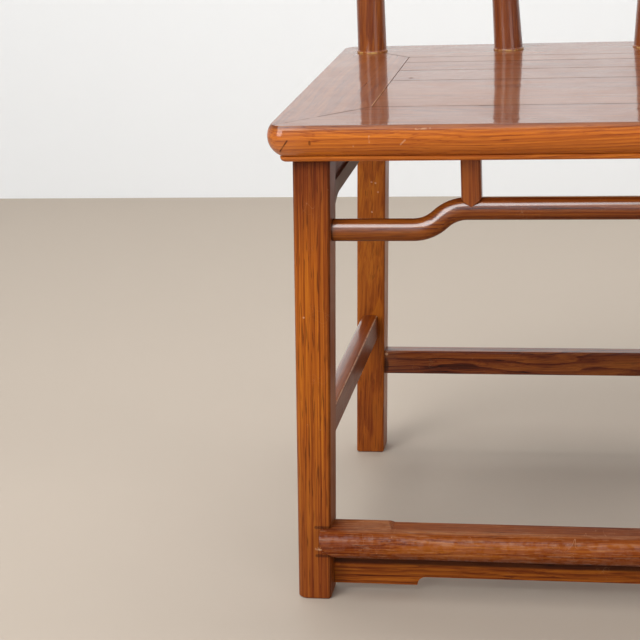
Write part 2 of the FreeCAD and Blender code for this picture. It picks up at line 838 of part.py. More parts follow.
def foot_rail_tenon(grow):
    """The foot rail's tenons, which reach the centres of the front legs."""
    z = foot_rail_bottom + foot_rail_height / 2
    axis = front_leg_axis(z)
    reach = end_room(grow)
    start = Vector(axis.x - reach, axis.y, z)
    end = Vector(-axis.x + reach, axis.y, z)
    height = foot_rail_height - 2 * (stretcher_tenon_cheek - grow)
    return bar(start, end, foot_rail_tenon_depth + 2 * grow, height, [tenon_radius] * 4)


def foot_rail_blank(legs):
    """The foot rail: a broad bar with a half-round nose that laps over the faces of the front legs."""
    radius = foot_rail_height / 2
    low = foot_rail_bottom
    high = low + foot_rail_height
    z = low + radius
    nose = front_y + foot_rail_nose_y
    back = front_y + foot_rail_back_y
    lap_x = foot_rail_lap_x()
    curve = foot_rail_back_radius * math.sqrt(0.5)
    back_centre = Vector(-lap_x, back - foot_rail_back_radius, high - foot_rail_back_radius)

    def at(y, height):
        return Vector(-lap_x, y, height)

    edges = [
        Part.Arc(at(nose + radius, high), at(nose, z), at(nose + radius, low)).toShape(),
        Part.LineSegment(at(nose + radius, low), at(back, low)).toShape(),
        Part.LineSegment(at(back, low), at(back, back_centre.z)).toShape(),
        Part.Arc(at(back, back_centre.z), back_centre + Vector(0, curve, curve),
                 at(back_centre.y, high)).toShape(),
        Part.LineSegment(at(back_centre.y, high), at(nose + radius, high)).toShape(),
    ]
    rail = Part.Face(Part.Wire(edges)).extrude(Vector(2 * lap_x, 0, 0))
    depth = back - nose + overrun
    corners = [foot_rail_lap_corner] * 4
    plan = rounded_outline(Vector(0, nose + depth / 2, low), 2 * lap_x, depth, corners)
    rail = rail.common(Part.Face(plan).extrude(up * foot_rail_height))
    lap_cut = foot_rail_lap_cut(lap_x)
    return cut_by(rail, [foot_rail_wear(), lap_cut, mirrored(lap_cut)] + legs)


def foot_rail_lap_x():
    """How far the foot rail's laps reach from the middle of the chair."""
    z = foot_rail_bottom + foot_rail_height / 2
    return -front_leg_axis(z).x - front_leg_width(z) / 2 + foot_rail_lap


def foot_rail_lap_cut(lap_x):
    """The wood taken from under the left lap, which leaves a rounded tongue on the leg's face."""
    low = foot_rail_bottom
    leg_face = front_leg_axis(low).y - front_leg_depth(low) / 2

    def at(run, rise):
        return Vector(-lap_x + run, front_y - overrun, low + rise)

    tip = at(0, foot_rail_lap_drop)
    toe = at(foot_rail_lap_run, 0)
    middle = at(foot_rail_lap_run * lap_curve_run_share, foot_rail_lap_drop * lap_curve_rise_share)
    edges = [Part.Arc(tip, middle, toe).toShape()]
    corners = (toe, at(foot_rail_lap_run, -overrun), at(-overrun, -overrun),
               at(-overrun, foot_rail_lap_drop), tip)
    edges += [Part.LineSegment(*pair).toShape() for pair in zip(corners[:-1], corners[1:])]
    return Part.Face(Part.Wire(edges)).extrude(Vector(0, leg_face - front_y + overrun, 0))


def foot_rail_wear():
    """The shallow hollow that feet have worn in the top of the foot rail, deepest along its back."""
    slope = wear_ramp / wear_depth
    half = wear_half_length
    points = [Vector(-half, 0, 0), Vector(half, 0, 0), Vector(half + slope * overrun, 0, overrun),
              Vector(-half - slope * overrun, 0, overrun)]
    run = foot_rail_back_y - wear_front_y
    hollow = prism(points, Vector(0, run + overrun, 0))
    hollow.rotate(Vector(0, 0, 0), Vector(1, 0, 0), -math.degrees(math.atan(wear_depth / run)))
    hollow.translate(Vector(0, front_y + wear_front_y, foot_rail_bottom + foot_rail_height))
    return hollow


def foot_apron_plate(legs):
    """The apron under the foot rail, deeper beside the legs than along its middle."""
    y = front_y + foot_apron_front_y
    end_x = -front_leg_axis(0).x
    low = foot_apron_bottom
    high = low + foot_apron_step
    bend = foot_apron_step * math.sqrt(0.5)
    inner_x = foot_apron_step_x - foot_apron_step

    def at(x, z):
        return Vector(x, y, z)

    left_arc = (at(-foot_apron_step_x, low), at(-inner_x - bend, low + bend), at(-inner_x, high))
    right_arc = [at(-point.x, point.z) for point in left_arc[::-1]]
    corners = (right_arc[2], at(end_x, low), at(end_x, foot_rail_bottom), at(-end_x, foot_rail_bottom),
               at(-end_x, low), left_arc[0])
    edges = [Part.Arc(*left_arc).toShape(), Part.LineSegment(left_arc[2], right_arc[0]).toShape(),
             Part.Arc(*right_arc).toShape()]
    edges += [Part.LineSegment(*pair).toShape() for pair in zip(corners[:-1], corners[1:])]
    plate = Part.Face(Part.Wire(edges)).extrude(Vector(0, foot_apron_thickness, 0))
    return cut_by(plate, legs)


def foot_apron_tongues(grow):
    """The tongue along the top and both ends of the foot apron, or with some growth its grooves."""
    z = foot_rail_bottom
    reach = end_room(grow)
    face_x = -front_leg_axis(z).x - front_leg_width(z) / 2
    front = front_y + foot_apron_front_y + foot_apron_cheek - grow
    rear = front_y + foot_apron_front_y + foot_apron_thickness - foot_apron_cheek + grow
    end_x = face_x + foot_apron_tongue_length + reach
    low = foot_apron_bottom + foot_apron_step + foot_apron_cheek
    ends = box((-end_x, end_x), (front, rear), (low - grow, z - foot_apron_cheek + grow))
    top_x = face_x - foot_apron_cheek + grow
    top = box((-top_x, top_x), (front, rear), (low, z + foot_apron_tongue_length + reach))
    return ends.fuse(top)


def seat_frame():
    """The four mitred rails, with the mortises of everything that is let into them."""
    blank = frame_blank()
    front_left, inner_front_left = mitre_corner(-1, front_y, window_front_y)
    front_right, inner_front_right = mitre_corner(1, front_y, window_front_y)
    rear_left, inner_rear_left = mitre_corner(-1, rear_y, window_rear_y)
    rear_right, inner_rear_right = mitre_corner(1, rear_y, window_rear_y)
    front_region = rail_region([front_left, front_right, inner_front_right, inner_front_left])
    rear_region = rail_region([rear_left, rear_right, inner_rear_right, inner_rear_left])
    side_region = rail_region([front_left, inner_front_left, inner_rear_left, rear_left])
    batten_mortises = [batten_tenons(x, fit_clearance) for x in battens_x]
    strut_mortises = [strut_tenon(x, fit_clearance) for x in struts_x]
    front_mortises = with_mirrored([mitre_tenon(False, fit_clearance), leg_tenon(fit_clearance)])
    rear_mortises = with_mirrored([mitre_tenon(True, fit_clearance), stile_hole(),
                                   post_tenon(fit_clearance)])
    side_rail = joined([blank.common(side_region), mitre_tenon(False, 0), mitre_tenon(True, 0)])
    parts = {
        "front_rail": cut_by(blank.common(front_region),
                             front_mortises + batten_mortises + strut_mortises),
        "rear_rail": cut_by(blank.common(rear_region), rear_mortises + batten_mortises),
    }
    parts.update(both_sides("side_rail", cut_by(side_rail, [leg_tenon(fit_clearance), stile_hole()])))
    return parts


def seat_panel():
    """The boards of the panel and the battens that hold them flat."""
    parts = {"panel_board_" + name: board for name, board in zip(board_names, panel_boards())}
    parts["batten_left"], parts["batten_right"] = [batten(x) for x in battens_x]
    return parts


def back_and_rear_legs():
    """Crest rail, inner posts and pegs, and the rear legs with their stiles in one piece."""
    blank = crest_blank()
    stile = bent_round(stile_line(), stile_foot_radius, stile_middle_radius, stile_top_radius)
    post = bent_round(post_line(), post_foot_radius, post_middle_radius, post_top_radius)
    mortises = [crest_tenon(stile_line(), fit_clearance), crest_tenon(post_line(), fit_clearance),
                crest_peg(fit_clearance)]
    peg = crest_peg(0)
    parts = {"crest_rail": cut_by(blank, with_mirrored(mortises)),
             "crest_pegs": Part.makeCompound([peg, mirrored(peg)])}
    post = joined([cut_by(post, [blank]), crest_tenon(post_line(), 0), post_tenon(0),
                   foot_bead(-post_foot_x, post_foot_radius)])
    parts.update(both_sides("inner_post", post))
    waist = round_bar(Vector(-stile_x, stile_y, leg_height - stile_waist_radius), up, stile_waist_radius,
                      seat_frame_thickness + 2 * stile_waist_radius)
    leg = joined([rear_leg_blank(), waist, cut_by(stile, [blank]), crest_tenon(stile_line(), 0),
                  foot_bead(-stile_x, stile_foot_radius)])
    leg_mortises = [crest_peg(fit_clearance), apron_tongue(*side_apron_place(), fit_clearance),
                    apron_tongue(*rear_apron_place(), fit_clearance),
                    side_stretcher_bar(fit_clearance, stretcher_tenon_cheek),
                    rear_stretcher_bar(fit_clearance, stretcher_tenon_cheek)]
    parts.update(both_sides("rear_leg", cut_by(leg, leg_mortises)))
    return parts


def front_legs():
    """The front legs, with everything that is let into them."""
    leg = joined([front_leg_blank(), leg_tenon(0)])
    mortises = [hump_tenon(fit_clearance), apron_tongue(*side_apron_place(), fit_clearance),
                side_stretcher_bar(fit_clearance, stretcher_tenon_cheek),
                foot_rail_tenon(fit_clearance), foot_apron_tongues(fit_clearance)]
    return both_sides("front_leg", cut_by(leg, mortises))


def under_seat():
    """Aprons, stretchers and struts between the legs, and the foot rail with its apron."""
    front = front_leg_blank()
    rear = rear_leg_blank()
    front_pair = with_mirrored([front])
    rear_pair = with_mirrored([rear])
    hump = joined([cut_by(hump_blank(), front_pair)] + with_mirrored([hump_tenon(0)]))
    side_stretcher = joined([cut_by(side_stretcher_bar(0, 0), (front, rear)),
                             side_stretcher_bar(0, stretcher_tenon_cheek)])
    foot_rail = joined([foot_rail_blank(front_pair), foot_rail_tenon(0)])
    parts = {
        "humpback_stretcher": cut_by(hump, [strut_notch(x) for x in struts_x]),
        "rear_apron": apron(rear_apron_place(), rear_pair),
        "rear_stretcher": joined([cut_by(rear_stretcher_bar(0, 0), rear_pair),
                                  rear_stretcher_bar(0, stretcher_tenon_cheek)]),
        "foot_rail": cut_by(foot_rail, [foot_apron_tongues(fit_clearance)]),
        "foot_apron": joined([foot_apron_plate(front_pair), foot_apron_tongues(0)]),
    }
    parts["strut_left"], parts["strut_right"] = [strut(x) for x in struts_x]
    parts.update(both_sides("side_apron", apron(side_apron_place(), (front, rear))))
    parts.update(both_sides("side_stretcher", side_stretcher))
    return parts


os.makedirs("parts", exist_ok=True)
for group in (seat_frame(), seat_panel(), back_and_rear_legs(), front_legs(), under_seat()):
    for name, shape in group.items():
        shape.exportStep("parts/" + name + ".step")
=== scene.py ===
"""Finishes for the official's hat chair: lacquered hardwood on every piece but the raw battens, and a plain
studio.
"""

import math

import bpy
from mathutils import Matrix, Vector

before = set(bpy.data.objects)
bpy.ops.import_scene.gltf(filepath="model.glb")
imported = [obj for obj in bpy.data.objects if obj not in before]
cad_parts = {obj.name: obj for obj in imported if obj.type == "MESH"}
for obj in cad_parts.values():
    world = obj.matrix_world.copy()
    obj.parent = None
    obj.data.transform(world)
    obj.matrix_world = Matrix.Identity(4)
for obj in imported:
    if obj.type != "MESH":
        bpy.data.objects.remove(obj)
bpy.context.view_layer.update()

bl_info = {
    "name": "Official's Hat Chair",
    "version": (1, 0, 0),
    "blender": (4, 5, 0),
    "location": "3D View > Sidebar > Hat Chair",
    "description": "Finishes the wood of an official's hat chair and sets up its studio",
    "category": "Object",
}

MM = 0.001
X, Y, Z = range(3)
SIDES = ((-1, "left"), (1, "right"))

# Plan of the seat in millimetres: half its width, its front and rear, and the opening that the boards fill
SEAT_HALF_WIDTH = 281.0
SEAT_FRONT = -274.25
SEAT_REAR = 223.75
OPENING_HALF_WIDTH = 191.0
OPENING_FRONT = -177.25
OPENING_REAR = 130.75
BOARD_JOINTS = (-26.33, 38.35, 93.79)
SEAT_TOP = 500.0
OUTSIDE = 1200.0  # past every piece, for a band with one open end

# Marks that the photo shows on the seat, in millimetres: a line has its start and its end
SEAM_CHIP = ((-83.0, -179.0, SEAT_TOP), (-66.0, -179.0, SEAT_TOP))
BOARD_KNOT = (-171.4, -11.6, SEAT_TOP)
EDGE_CRACK = ((-258.6, -273.0, 486.3), (-266.8, -270.0, 475.2))
EDGE_KNOT = (-237.1, -273.5, 483.9)
EDGE_NICKS = (((-180.0, -273.5, 490.0), (-180.0, -273.5, 484.0)),
              ((-150.5, -273.5, 481.5), (-146.0, -273.5, 486.0)),
              ((-195.5, -273.5, 480.0), (-195.5, -273.5, 480.6)),
              ((-136.0, -272.0, 496.0), (-122.0, -272.0, 496.4)))
EDGE_HIGHLIGHT_END = -30.0  # how far back the painted highlight runs along the side rail's inner edge

# Marks on the legs, in millimetres for the right side; the left side has them mirrored
LEG_CHIP = (255.0, -254.0, 304.5)
LAP_BRUISE = (250.7, -254.0, 56.5)
LAP_LINES = [((224.0, -254.3, height), (253.0, -254.3, height)) for height in (80.2, 48.8)]
LEG_ARRIS = ((222.3, -252.25, 463.0), (240.8, -254.5, 0.0))
REAR_LEG_DINGS = [(across, 161.0, height)
                  for across, height in ((244.3, 346.7), (239.5, 345.5), (236.9, 334.4), (245.0, 309.9))]
HIGHLIGHT_RING_TOP = 501.8  # height of the painted highlight ring round the feet of the stiles and posts
FRONT_LEG_SPLAY = (0.0065, 0.0367)  # radians about X and Y
REAR_LEG_SPLAY = (0.05, 0.06)

# Marks on the stretchers and aprons, in millimetres
HUMP_BENDS = (145.6, 92.4)  # how far from the middle each bend ends, and the bar's height there
HUMP_HEIGHTS = (389.0, 410.0)
HUMP_EDGE = (-3.0, 4.0)  # the shine fades in between these heights over the bar's middle
STRETCHER_HOLLOW = (-235.0, 166.7, 114.0)
STRETCHER_CHIP = (-234.4, 166.7, 128.5)
STRETCHER_ARRIS = ((243.6, -215.0, 179.4), (243.6, 165.0, 179.4))
APRON_CHIP = (-235.5, -232.2, 30.5)
FOOT_RAIL_NOSE = 262.0  # distance in front of the chair's middle


def colour_property(name, description, default):
    """A colour that a user would change."""
    return bpy.props.FloatVectorProperty(name=name, description=description, default=default,
                                         subtype="COLOR", size=3, min=0, max=1)


def length_property(name, description, default):
    """A length that a user would change, in metres."""
    return bpy.props.FloatProperty(name=name, description=description, default=default,
                                   subtype="DISTANCE", unit="LENGTH", min=0)


class WoodColours(bpy.types.PropertyGroup):
    seat: colour_property("Seat", "Warm colour of the seat's edge", (0.44, 0.112, 0.014))
    seat_top: colour_property("Seat top", "Darker colour of the seat's upper face", (0.165, 0.044, 0.010))
    leg: colour_property("Legs", "Colour of the legs and the back", (0.34, 0.086, 0.008))
    # leg_dark also paints shade: on the legs towards the seat, the floor and their inner side, below the seat
    # on the rear legs, under the foot rail and on the inner faces of stretchers and aprons
    leg_dark: colour_property("Leg ends", "Darker colour near the ends of the legs", (0.16, 0.034, 0.008))
    stretcher: colour_property("Stretchers", "Colour of the stretchers and aprons", (0.18, 0.038, 0.004))
    # The pore colour also paints shadows: below the seat's edge on the front legs, under the foot rail's nose
    # and in the corners where the foot apron meets the legs
    pore: colour_property("Grain lines", "Dark colour in the pores", (0.035, 0.008, 0.003))
    raw: colour_property("Unfinished wood", "Colour of the wood under the seat", (0.25, 0.20, 0.17))
    # Painted highlight: a golden ring where the stiles and posts meet the seat
    gilt: colour_property("Ring highlight", "Golden line where a round post meets the seat", (0.50, 0.29, 0.10))
    # Besides real wear, this colour paints the highlight along the side edges of the seat's opening
    worn: colour_property("Worn wood", "Paler colour where the lacquer has rubbed away", (0.60, 0.36, 0.21))


class StudioSizes(bpy.types.PropertyGroup):
    wall_distance: length_property("Wall", "How far the wall is behind the origin", 1.55)
    floor_width: length_property("Floor", "Width of the floor", 10.0)
    floor_colour: colour_property("Floor colour", "Pale colour of the floor", (0.44, 0.375, 0.31))
    wall_colour: colour_property("Wall colour", "Pale colour of the wall", (0.84, 0.86, 0.875))


# Nodes and wires

class Nodes:
    """Short calls for building a node tree."""

    def __init__(self, tree):
        self.tree = tree
        tree.nodes.clear()

    def add(self, kind, settings=(), **inputs):
        node = self.tree.nodes.new(kind)
        for name, value in dict(settings).items():
            setattr(node, name, value)
        for name, value in inputs.items():
            self.set(node, name.replace("_", " "), value)
        return node

    def set(self, node, name, value):
        socket = node.inputs[int(name)] if name.isdigit() else node.inputs[name]
        if isinstance(value, bpy.types.NodeSocket):
            self.tree.links.new(value, socket)
        else:
            socket.default_value = value

    def numbered(self, kind, operation, values, clamp=False):
        node = self.add(kind, {"operation": operation})
        if clamp:
            node.use_clamp = True
        for index, value in enumerate(values):
            self.set(node, str(index), value)
        return node.outputs

    def maths(self, operation, *values, clamp=False):
        return self.numbered("ShaderNodeMath", operation, values, clamp)[0]

    def vector_maths(self, operation, *values):
        return self.numbered("ShaderNodeVectorMath", operation, values)

    def times(self, first, second):
        return self.maths("MULTIPLY", first, second)

    def mix(self, share, first, second):
        node = self.add("ShaderNodeMix", {"data_type": "RGBA"})
        for name, value in (("0", share), ("6", first), ("7", second)):
            self.set(node, name, value)
        return node.outputs[2]

    def ramp(self, value, low, high, out_low=0.0, out_high=1.0):
        """A smooth step from one value to another."""
        node = self.add("ShaderNodeMapRange", {"interpolation_type": "SMOOTHSTEP"})
        for name, number in (("Value", value), ("From Min", low), ("From Max", high),
                             ("To Min", out_low), ("To Max", out_high)):
            self.set(node, name, number)
        return node.outputs[0]

    def noise(self, vector, scale, detail=3.0, roughness=0.5):
        return self.add("ShaderNodeTexNoise", {}, Vector=vector, Scale=scale, Detail=detail,
                        Roughness=roughness).outputs[0]

    def streaks(self, vector, squeeze, scale, detail=3.0, roughness=0.5):
        """A noise over the vector squeezed along its Z, which draws it out into streaks."""
        squeezed = self.add("ShaderNodeMapping", {}, Vector=vector, Scale=(1, 1, squeeze)).outputs[0]
        return self.noise(squeezed, scale, detail, roughness)

    def bump(self, height, strength, distance):
        return self.add("ShaderNodeBump", {}, Height=height, Strength=strength, Distance=distance).outputs[0]

    def parts(self, vector):
        return self.add("ShaderNodeSeparateXYZ", {}, Vector=vector).outputs

    def line(self, value, half_width):
        """One where a value is near nothing."""
        return self.ramp(self.maths("ABSOLUTE", value), half_width, 0.0)


def group(name, inputs, outputs):
    """A new node group with named sockets, and its input and output nodes."""
    tree = bpy.data.node_groups.new(name, "ShaderNodeTree")
    kinds = {"value": "NodeSocketFloat", "colour": "NodeSocketColor", "vector": "NodeSocketVector"}
    for socket, kind, default in inputs:
        made = tree.interface.new_socket(socket, in_out="INPUT", socket_type=kinds[kind])
        made.default_value = default
    for socket, kind in outputs:
        tree.interface.new_socket(socket, in_out="OUTPUT", socket_type=kinds[kind])
    nodes = Nodes(tree)
    return nodes, tree.nodes.new("NodeGroupInput").outputs, tree.nodes.new("NodeGroupOutput")


MIDDLE = 0.5          # the middle value of a noise
CROSS_WANDER = 0.4    # the share of the wander that the second direction gets
RING_UNEVENNESS = 2.4
LIGHTEST = 1.14       # brightness where nothing darkens the wood
REST_HUE = 0.503      # 0.5 leaves a hue as it is
DARK_HUE_SHIFT = -0.02


def growth_grain():
    """Growth rings, dark lines and long fibres; the grain runs along the vector's Z."""
    nodes, given, out = group("Growth Grain", [
        ("Vector", "vector", (0, 0, 0)), ("Wood", "colour", (0.3, 0.1, 0.03, 1)),
        ("Pore", "colour", (0.04, 0.01, 0.004, 1)), ("Ring Spacing", "value", 0.003),
        ("Ring Strength", "value", 0.25), ("Line Strength", "value", 0.3), ("Fibre Strength", "value", 0.12),
        ("Pore Strength", "value", 0.4), ("Wander", "value", 0.02), ("Drift", "value", 0.12)],
        [("Color", "colour"), ("Height", "value")])
    vector = given["Vector"]
    x, y, z = nodes.parts(vector)
    sway = nodes.maths("SUBTRACT", nodes.streaks(vector, squeeze=0.22, scale=6.0, detail=2.0), MIDDLE)
    lean = nodes.maths("SUBTRACT", nodes.streaks(vector, squeeze=0.13, scale=32.0), MIDDLE)
    moved_x = nodes.maths("MULTIPLY_ADD", sway, given["Wander"], x)
    moved_y = nodes.maths("MULTIPLY_ADD", lean, nodes.times(given["Wander"], CROSS_WANDER), y)
    moved = nodes.add("ShaderNodeCombineXYZ", {}, X=moved_x, Y=moved_y, Z=z).outputs[0]
    squares = nodes.maths("ADD", nodes.times(moved_x, moved_x), nodes.times(moved_y, moved_y))
    phase = nodes.maths("DIVIDE", nodes.maths("SQRT", squares), given["Ring Spacing"])
    count = nodes.add("ShaderNodeCombineXYZ", {}, X=phase).outputs[0]
    uneven = nodes.noise(count, scale=0.4, detail=1.0)
    saw = nodes.maths("FRACT", nodes.maths("MULTIPLY_ADD", uneven, RING_UNEVENNESS, phase))
    ring = nodes.times(nodes.ramp(saw, low=0.30, high=0.92), nodes.ramp(saw, low=1.0, high=0.93))
    fibres = nodes.ramp(nodes.streaks(moved, squeeze=0.010, scale=520.0, roughness=0.65),
                        low=0.34, high=0.66, out_low=-1.0)
    strokes = nodes.streaks(moved, squeeze=0.012, scale=330.0, detail=2.0)
    fade = nodes.ramp(nodes.streaks(vector, squeeze=0.3, scale=40.0, detail=2.0),
                      low=0.38, high=0.62, out_low=0.25)
    lines = nodes.times(nodes.line(nodes.maths("SUBTRACT", strokes, MIDDLE), half_width=0.032), fade)
    pores = nodes.ramp(nodes.streaks(moved, squeeze=0.05, scale=700.0, detail=1.0), low=0.58, high=0.70)
    drift = nodes.ramp(nodes.streaks(vector, squeeze=0.3, scale=9.0), low=0.3, high=0.7, out_low=-1.0)
    tone = nodes.times(ring, given["Ring Strength"])
    for value, strength in ((lines, given["Line Strength"]), (fibres, given["Fibre Strength"]),
                            (drift, given["Drift"])):
        tone = nodes.maths("MULTIPLY_ADD", value, strength, tone)
    shade = nodes.add("ShaderNodeHueSaturation", {}, Color=given["Wood"])
    nodes.set(shade, "Value", nodes.maths("SUBTRACT", LIGHTEST, tone))
    nodes.set(shade, "Hue", nodes.maths("MULTIPLY_ADD", tone, DARK_HUE_SHIFT, REST_HUE))
    dark = nodes.times(pores, given["Pore Strength"])
    nodes.set(out, "Color", nodes.mix(dark, shade.outputs[0], given["Pore"]))
    nodes.set(out, "Height", nodes.maths("SUBTRACT", 1.0, nodes.maths("MAXIMUM", pores, lines)))
    return nodes.tree


SCRATCHES = (((0.2, 0.4, 0.7), 60.0), ((0.1, 0.9, -0.8), 75.0))  # the turn and scale of each set
SCRATCH_SQUEEZE = (1, 0.06, 1)


def rubbed_places():
    """Fine scratches, smudges and pale rubs on a lacquered surface."""
    nodes, given, out = group("Rubbed Places", [
        ("Vector", "vector", (0, 0, 0)), ("Amount", "value", 0.5)],
        [("Scratches", "value"), ("Smudges", "value"), ("Rubs", "value")])
    vector = given["Vector"]
    sets = []
    for turn, scale in SCRATCHES:
        mapped = nodes.add("ShaderNodeMapping", {}, Vector=vector, Rotation=turn, Scale=SCRATCH_SQUEEZE)
        threads = nodes.noise(mapped.outputs[0], scale, detail=1.0, roughness=0.4)
        sets.append(nodes.line(nodes.maths("SUBTRACT", threads, MIDDLE), half_width=0.003))
    areas = nodes.ramp(nodes.noise(vector, scale=23.0, detail=2.0, roughness=0.6), low=0.57, high=0.65)
    scratches = nodes.times(nodes.maths("MAXIMUM", *sets), areas)
    nodes.set(out, "Scratches", nodes.times(scratches, given["Amount"]))
    smudges = nodes.noise(vector, scale=14.0, detail=4.0, roughness=0.6)
    nodes.set(out, "Smudges", nodes.ramp(smudges, low=0.38, high=0.68))
    rubs = nodes.ramp(nodes.noise(vector, scale=190.0, detail=2.0, roughness=0.6), low=0.74, high=0.78)
    nodes.set(out, "Rubs", nodes.times(rubs, given["Amount"]))
    return nodes.tree


GROUP_MAKERS = {"grain": growth_grain, "rubs": rubbed_places}
GROUPS = {}


def shared(name):
    """The shared node group of that name, built once."""
    if name not in GROUPS:
        GROUPS[name] = GROUP_MAKERS[name]()
    return GROUPS[name]


# Marks: each is a function that makes a mask from the object's own coordinates; lengths in millimetres

SPOT_CORE = 0.5    # the share of a spot's radius that is at full strength
STROKE_CORE = 0.4  # the same for a stroke's half width


def spot(centre, radii):
    """A small ellipsoid."""
    def mask(nodes, place):
        mapped = nodes.add("ShaderNodeMapping", {}, Vector=place,
                           Scale=[1 / (radius * MM) for radius in radii],
                           Location=[-middle / radius for middle, radius in zip(centre, radii)]).outputs[0]
        return nodes.ramp(nodes.vector_maths("LENGTH", mapped)[1], low=1.0, high=SPOT_CORE)
    return mask


def stroke(start, end, half_width, weights=(1, 1, 1)):
    """A straight line between two points; an axis with no weight doesn't count."""
    def mask(nodes, place):
        first = Vector(start) * MM
        run = (Vector(end) * MM - first) * Vector(weights)
        offset = nodes.vector_maths("SUBTRACT", place, first)[0]
        offset = nodes.vector_maths("MULTIPLY", offset, weights)[0]
        along = nodes.vector_maths("DOT_PRODUCT", offset, run / run.length_squared)[1]
        share = nodes.maths("MULTIPLY", along, 1.0, clamp=True)
        nearest = nodes.add("ShaderNodeVectorMath", {"operation": "SCALE"}, Scale=share)
        nodes.set(nearest, "0", run)
        away = nodes.vector_maths("DISTANCE", offset, nearest.outputs[0])[1]
        return nodes.ramp(away, low=half_width * MM, high=half_width * MM * STROKE_CORE)
    return mask


def slab(axis, low, high, soft):
    """Everything between two heights, or between two distances to both sides of the chair's middle."""
    def mask(nodes, place):
        value = nodes.parts(place)[axis]
        if axis != Z:
            value = nodes.maths("ABSOLUTE", value)
        rise = nodes.ramp(value, (low - soft) * MM, (low + soft) * MM)
        fall = nodes.ramp(value, (high + soft) * MM, (high - soft) * MM)
        return nodes.times(rise, fall)
    return mask


def patches(scale, low, high, least=0.0, squeeze=(1, 1, 1)):
    """Soft patches scattered over the whole piece, drawn out along an axis that is squeezed."""
    def mask(nodes, place):
        mapped = nodes.add("ShaderNodeMapping", {}, Vector=place, Scale=squeeze).outputs[0]
        return nodes.ramp(nodes.noise(mapped, scale, detail=3.0, roughness=0.6), low, high, least)
    return mask


def both(first, second):
    """Where two marks meet."""
    return lambda nodes, place: nodes.times(first(nodes, place), second(nodes, place))


def either(first, second):
    """Where one of two marks is."""
    return lambda nodes, place: nodes.maths("MAXIMUM", first(nodes, place), second(nodes, place))


def lifted(mark, least):
    """A mark that never falls below a value."""
    return lambda nodes, place: nodes.maths("MAXIMUM", mark(nodes, place), least)


def broken(mark, scale, low, high, least=0.0):
    """A mark that comes and goes along its length."""
    return both(mark, patches(scale, low, high, least))


def blend(first, second, share):
    """A colour part of the way from one to another."""
    return [one + (other - one) * share for one, other in zip(first, second)]


QUARTER = math.pi / 2
ALONG_X = (0, QUARTER, 0)
ALONG_Y = (QUARTER, 0, 0)
UPRIGHT = (0, 0, 0)

LACQUER_IOR = 1.5
RUB_SHARE = 0.6          # how bare a rub is next to a scratch
BARE_TINT = 0.6          # how much of the worn colour a bare place shows
SMUDGE_ROUGHNESS = 0.08
BARE_ROUGHNESS = 0.3
GRAIN_STRENGTH = 0.15
GRAIN_DEPTH = 0.0003     # metres


def wood_finish(name, wood, colours, turn, pith=(0.05, 0.04, 0), rings=0.003, ring=0.22, line=0.3,
                fibre=0.15, pore=0.35, wander=0.02, drift=0.12, rough=0.30, specular=0.15, rubs=0.3,
                coat=0.0, coat_rough=0.15, coat_ior=LACQUER_IOR, waves=0.0, shine=None, stains=(), marks=()):
    """A wood whose grain runs along the object's Z after a turn, with a coat of lacquer if coat says so.

    pith moves the middle of the growth rings and rings is their spacing, in metres. Each entry in the list of
    stains and painted shade is a mark with its colour and strength that the lacquer covers; a mark goes
    through the lacquer, and a few marks are painted highlights. shine masks the coat.
    """
    material = bpy.data.materials.new(name)
    material.use_nodes = True
    nodes = Nodes(material.node_tree)
    place = nodes.add("ShaderNodeTexCoord").outputs["Object"]
    turned = nodes.add("ShaderNodeMapping", {}, Vector=place, Rotation=turn, Location=pith).outputs[0]
    tint = (*wood, 1)
    for mask, key, strength in stains:
        tint = nodes.mix(nodes.times(mask(nodes, place), strength), tint, (*getattr(colours, key), 1))
    grain = nodes.add("ShaderNodeGroup", {"node_tree": shared("grain")}, Vector=turned, Wood=tint,
                      Pore=(*colours.pore, 1), Ring_Spacing=rings, Ring_Strength=ring, Line_Strength=line,
                      Fibre_Strength=fibre, Pore_Strength=pore, Wander=wander, Drift=drift)
    rub = nodes.add("ShaderNodeGroup", {"node_tree": shared("rubs")}, Vector=place, Amount=rubs)
    bare = nodes.maths("MAXIMUM", rub.outputs["Scratches"], nodes.times(rub.outputs["Rubs"], RUB_SHARE))
    colour = nodes.mix(nodes.times(bare, BARE_TINT), grain.outputs["Color"], (*colours.worn, 1))
    for mask, key, strength in marks:
        share = nodes.times(mask(nodes, place), strength)
        colour = nodes.mix(share, colour, (*getattr(colours, key), 1))
        bare = nodes.maths("MAXIMUM", bare, share)
    shader = nodes.add("ShaderNodeBsdfPrincipled", {}, IOR=LACQUER_IOR, Base_Color=colour,
                       Specular_IOR_Level=specular)
    smooth = nodes.maths("MULTIPLY_ADD", rub.outputs["Smudges"], SMUDGE_ROUGHNESS, rough)
    nodes.set(shader, "Roughness", nodes.maths("MULTIPLY_ADD", bare, BARE_ROUGHNESS, smooth))
    if coat:
        clear = nodes.maths("MULTIPLY_ADD", bare, -coat, coat, clamp=True)
        nodes.set(shader, "Coat Weight", nodes.times(clear, shine(nodes, place)) if shine else clear)
        nodes.set(shader, "Coat Roughness", coat_rough)
        nodes.set(shader, "Coat IOR", coat_ior)
    nodes.set(shader, "Normal", nodes.bump(grain.outputs["Height"], GRAIN_STRENGTH, GRAIN_DEPTH))
    if waves:
        swell = nodes.streaks(turned, squeeze=0.4, scale=24.0, detail=2.0, roughness=0.45)
        nodes.set(shader, "Coat Normal", nodes.bump(swell, 1.0, waves))
    nodes.add("ShaderNodeOutputMaterial", {}, Surface=shader.outputs[0])
    return material


def dress(name, material):
    """Puts a finish on a CAD node."""
    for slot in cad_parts[name].material_slots:
        slot.material = material


def lacquer(name, wood, colours, turn, **settings):
    """Gives a CAD node a lacquered wood of its own."""
    dress(name, wood_finish("Lacquer " + name, wood, colours, turn, **settings))


